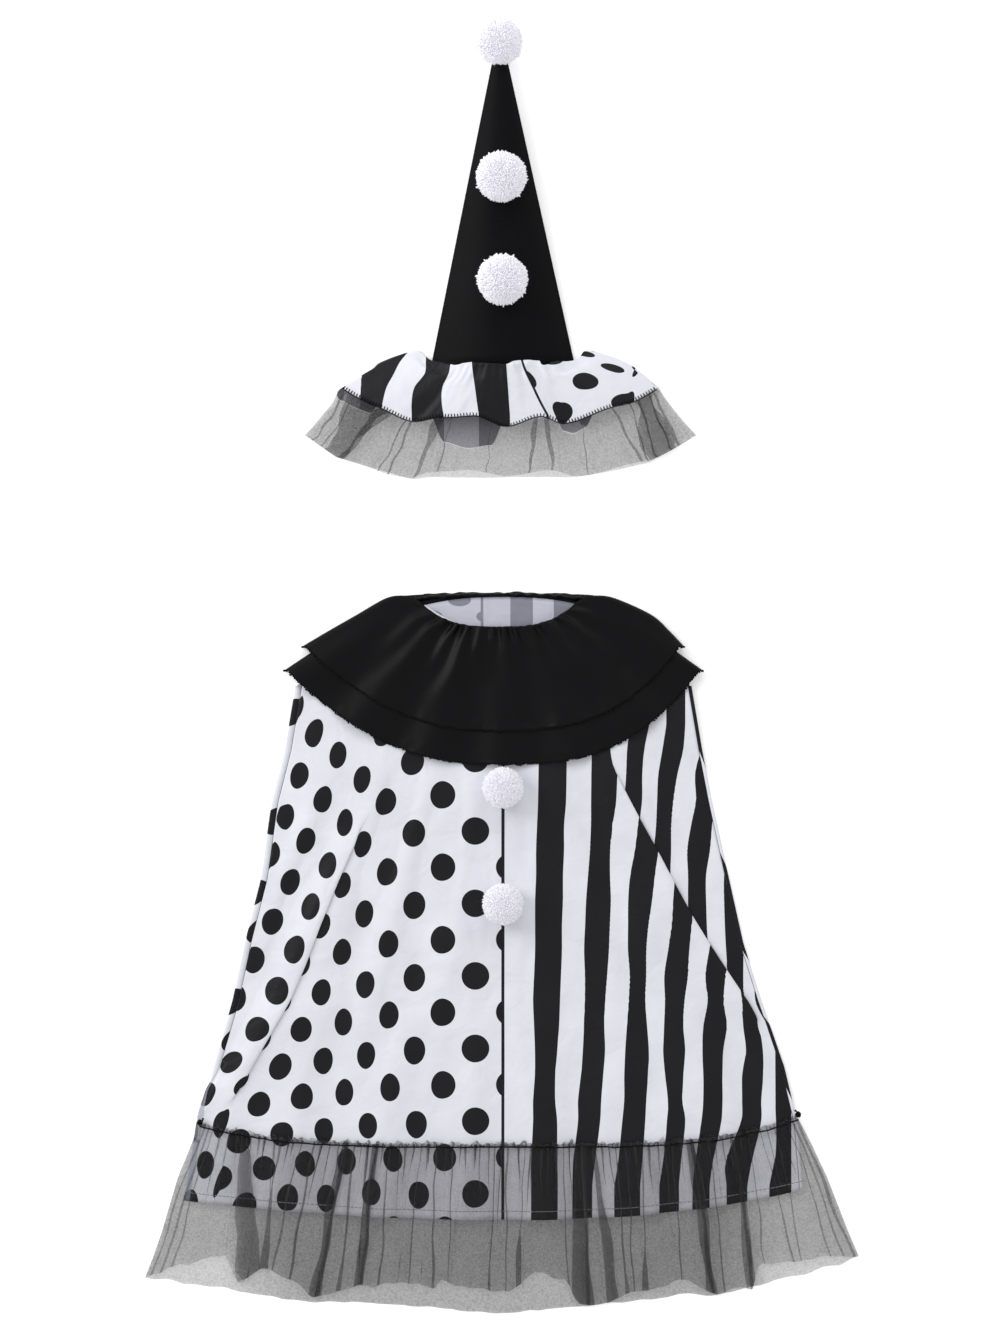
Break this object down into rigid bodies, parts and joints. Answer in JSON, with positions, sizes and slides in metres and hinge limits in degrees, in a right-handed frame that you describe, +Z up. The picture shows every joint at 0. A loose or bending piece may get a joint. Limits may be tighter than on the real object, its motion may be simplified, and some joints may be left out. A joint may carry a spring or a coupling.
{
  "type": "jester cape and hat set",
  "caption": "Jester cape with a two-tier ruffled collar and tulle hem, laid flat below a matching cone hat with ruffle and pompoms.",
  "frame": {"origin": "centre of the whole set's outline, on the table it lies on", "axes": "+Z up from the table, +Y from the cape's hem to the tip of the hat, +X to the striped side of the cape's front"},
  "size_m": [0.7124, 1.2926, 0.072],
  "materials": {
    "printed_satin": "white polyester satin printed with black dots and stripes",
    "black_satin": "matte black satin with a picot overlocked edge",
    "black_tulle": "sheer black tulle net",
    "black_felt": "stiff black felt",
    "white_yarn": "white acrylic yarn, cut pile"
  },
  "bodies": {
    "root": {"front_panel": "printed_satin", "back_panel": "printed_satin", "collar_lower": "black_satin", "collar_upper": "black_satin", "hem_tulle_front": "black_tulle", "hem_tulle_back": "black_tulle", "cape_pompom_1": "white_yarn", "cape_pompom_2": "white_yarn", "hat_cone": "black_felt", "hat_ruffle": "printed_satin", "hat_tulle": "black_tulle", "hat_pompom_1": "white_yarn", "hat_pompom_2": "white_yarn", "hat_pompom_tip": "white_yarn"}
  },
  "joints": []
}
